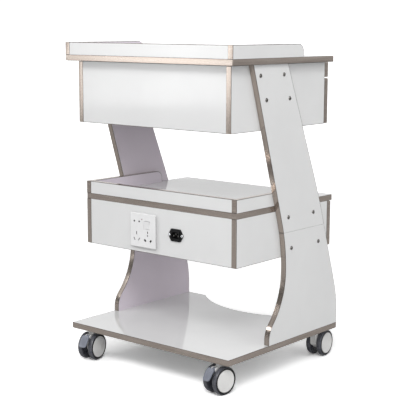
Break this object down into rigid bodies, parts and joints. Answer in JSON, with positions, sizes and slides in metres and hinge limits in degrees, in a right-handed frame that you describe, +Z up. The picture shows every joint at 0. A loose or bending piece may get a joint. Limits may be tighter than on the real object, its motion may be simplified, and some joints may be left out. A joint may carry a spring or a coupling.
{
  "type": "rolling salon trolley",
  "caption": "Wheeled salon trolley with tray boards, low galleries, drawers in two cases, slanted side panels, a mains socket and a base shelf.",
  "frame": {"origin": "floor level under the middle of the trolley's bounding box", "axes": "+Z up, -Y towards the user at the drawer side, +X to the user's right; the socket and the inlet face +Y"},
  "size_m": [0.546, 0.5058, 0.8265],
  "materials": {
    "white_laminate": "smooth glossy white laminate over wood-based board",
    "champagne_edging": "metallic champagne edging with fine brushed lines",
    "drawer_board": "satin white laminated drawer boards",
    "chrome_handle": "polished chrome",
    "dark_steel": "dark nickel domed bolts",
    "zinc_steel": "bright zinc-plated steel",
    "white_plastic": "glossy white moulded plastic",
    "black_plastic": "satin black moulded plastic",
    "lead_sheath": "matt black flexible sheath",
    "grey_plastic": "light grey moulded nylon",
    "dark_tyre": "dark grey polyurethane tread with a light grey cap",
    "pedal_plastic": "blue-grey moulded nylon"
  },
  "bodies": {
    "trolley": {"base_board": "white_laminate", "upper_side_left": "white_laminate", "lower_side_left": "white_laminate", "upper_side_right": "white_laminate", "lower_side_right": "white_laminate", "top_board": "white_laminate", "middle_board": "white_laminate", "top_gallery_side_rails": "white_laminate", "top_gallery_rear_rail": "white_laminate", "middle_gallery_side_rails": "white_laminate", "middle_gallery_rear_rail": "white_laminate", "top_case_left_side": "white_laminate", "top_case_right_side": "white_laminate", "top_case_rear_panel": "white_laminate", "top_case_floor": "white_laminate", "middle_case_left_side": "white_laminate", "middle_case_right_side": "white_laminate", "middle_case_rear_panel": "white_laminate", "middle_case_floor": "white_laminate", "board_edging": "champagne_edging", "panel_edging": "champagne_edging", "side_bolts": "dark_steel", "base_screws": "zinc_steel", "caster_stems": "zinc_steel", "case_slide_members": "zinc_steel", "socket_plate": "white_plastic", "socket_back_box": "white_plastic", "power_inlet": "black_plastic", "inlet_screws": "zinc_steel", "mains_lead": "lead_sheath"},
    "socket_switch": {"socket_rocker": "white_plastic"},
    "upper_drawer": {"upper_drawer_front": "white_laminate", "upper_drawer_front_edging": "champagne_edging", "upper_drawer_box": "drawer_board", "upper_drawer_handle": "chrome_handle", "upper_drawer_slide_members": "zinc_steel"},
    "lower_drawer": {"lower_drawer_front": "white_laminate", "lower_drawer_front_edging": "champagne_edging", "lower_drawer_box": "drawer_board", "lower_drawer_handle": "chrome_handle", "lower_drawer_slide_members": "zinc_steel"},
    "middle_drawer": {"middle_drawer_front": "white_laminate", "middle_drawer_front_edging": "champagne_edging", "middle_drawer_box": "drawer_board", "middle_drawer_handle": "chrome_handle", "middle_drawer_slide_members": "zinc_steel"},
    "rear_left_swivel": {"rear_left_caster_body": "grey_plastic"},
    "rear_left_wheel_a": {"rear_left_caster_wheel_a": "dark_tyre"},
    "rear_left_wheel_b": {"rear_left_caster_wheel_b": "dark_tyre"},
    "rear_left_brake": {"rear_left_caster_pedal": "pedal_plastic"},
    "rear_right_swivel": {"rear_right_caster_body": "grey_plastic"},
    "rear_right_wheel_a": {"rear_right_caster_wheel_a": "dark_tyre"},
    "rear_right_wheel_b": {"rear_right_caster_wheel_b": "dark_tyre"},
    "rear_right_brake": {"rear_right_caster_pedal": "pedal_plastic"},
    "front_left_swivel": {"front_left_caster_body": "grey_plastic"},
    "front_left_wheel_a": {"front_left_caster_wheel_a": "dark_tyre"},
    "front_left_wheel_b": {"front_left_caster_wheel_b": "dark_tyre"},
    "front_right_swivel": {"front_right_caster_body": "grey_plastic"},
    "front_right_wheel_a": {"front_right_caster_wheel_a": "dark_tyre"},
    "front_right_wheel_b": {"front_right_caster_wheel_b": "dark_tyre"}
  },
  "joints": [
    {"name": "upper_drawer_slide", "type": "slide", "parent": "trolley", "child": "upper_drawer", "axis": [0, -1, 0], "range_m": [0, 0.26]},
    {"name": "lower_drawer_slide", "type": "slide", "parent": "trolley", "child": "lower_drawer", "axis": [0, -1, 0], "range_m": [0, 0.26]},
    {"name": "middle_drawer_slide", "type": "slide", "parent": "trolley", "child": "middle_drawer", "axis": [0, -1, 0], "range_m": [0, 0.22]},
    {"name": "socket_switch_rock", "type": "hinge", "parent": "trolley", "child": "socket_switch", "pos_m": [0.0305, 0.18845, 0.3765], "axis": [1, 0, 0], "range_deg": [0, 14]},
    {"name": "rear_left_swivel_turn", "type": "hinge", "parent": "trolley", "child": "rear_left_swivel", "pos_m": [-0.221, 0.18095, 0.06], "axis": [0, 0, 1], "continuous": true},
    {"name": "rear_left_wheel_a_spin", "type": "hinge", "parent": "rear_left_swivel", "child": "rear_left_wheel_a", "pos_m": [-0.21817, 0.20579, 0.0345], "axis": [0.9936, -0.1132, 0], "continuous": true},
    {"name": "rear_left_wheel_b_spin", "type": "hinge", "parent": "rear_left_swivel", "child": "rear_left_wheel_b", "pos_m": [-0.21817, 0.20579, 0.0345], "axis": [0.9936, -0.1132, 0], "continuous": true},
    {"name": "rear_left_brake_press", "type": "hinge", "parent": "rear_left_swivel", "child": "rear_left_brake", "pos_m": [-0.21647, 0.22069, 0.062], "axis": [-0.9936, 0.1132, 0], "range_deg": [0, 12]},
    {"name": "rear_right_swivel_turn", "type": "hinge", "parent": "trolley", "child": "rear_right_swivel", "pos_m": [0.221, 0.18095, 0.06], "axis": [0, 0, 1], "continuous": true},
    {"name": "rear_right_wheel_a_spin", "type": "hinge", "parent": "rear_right_swivel", "child": "rear_right_wheel_a", "pos_m": [0.21636, 0.20552, 0.0345], "axis": [0.9826, 0.1857, 0], "continuous": true},
    {"name": "rear_right_wheel_b_spin", "type": "hinge", "parent": "rear_right_swivel", "child": "rear_right_wheel_b", "pos_m": [0.21636, 0.20552, 0.0345], "axis": [0.9826, 0.1857, 0], "continuous": true},
    {"name": "rear_right_brake_press", "type": "hinge", "parent": "rear_right_swivel", "child": "rear_right_brake", "pos_m": [0.21357, 0.22026, 0.062], "axis": [-0.9826, -0.1857, 0], "range_deg": [0, 12]},
    {"name": "front_left_swivel_turn", "type": "hinge", "parent": "trolley", "child": "front_left_swivel", "pos_m": [-0.221, -0.19105, 0.06], "axis": [0, 0, 1], "continuous": true},
    {"name": "front_left_wheel_a_spin", "type": "hinge", "parent": "front_left_swivel", "child": "front_left_wheel_a", "pos_m": [-0.21869, -0.21594, 0.0345], "axis": [-0.9957, -0.0924, 0], "continuous": true},
    {"name": "front_left_wheel_b_spin", "type": "hinge", "parent": "front_left_swivel", "child": "front_left_wheel_b", "pos_m": [-0.21869, -0.21594, 0.0345], "axis": [-0.9957, -0.0924, 0], "continuous": true},
    {"name": "front_right_swivel_turn", "type": "hinge", "parent": "trolley", "child": "front_right_swivel", "pos_m": [0.221, -0.19105, 0.06], "axis": [0, 0, 1], "continuous": true},
    {"name": "front_right_wheel_a_spin", "type": "hinge", "parent": "front_right_swivel", "child": "front_right_wheel_a", "pos_m": [0.21752, -0.21581, 0.0345], "axis": [-0.9903, 0.1392, 0], "continuous": true},
    {"name": "front_right_wheel_b_spin", "type": "hinge", "parent": "front_right_swivel", "child": "front_right_wheel_b", "pos_m": [0.21752, -0.21581, 0.0345], "axis": [-0.9903, 0.1392, 0], "continuous": true}
  ]
}
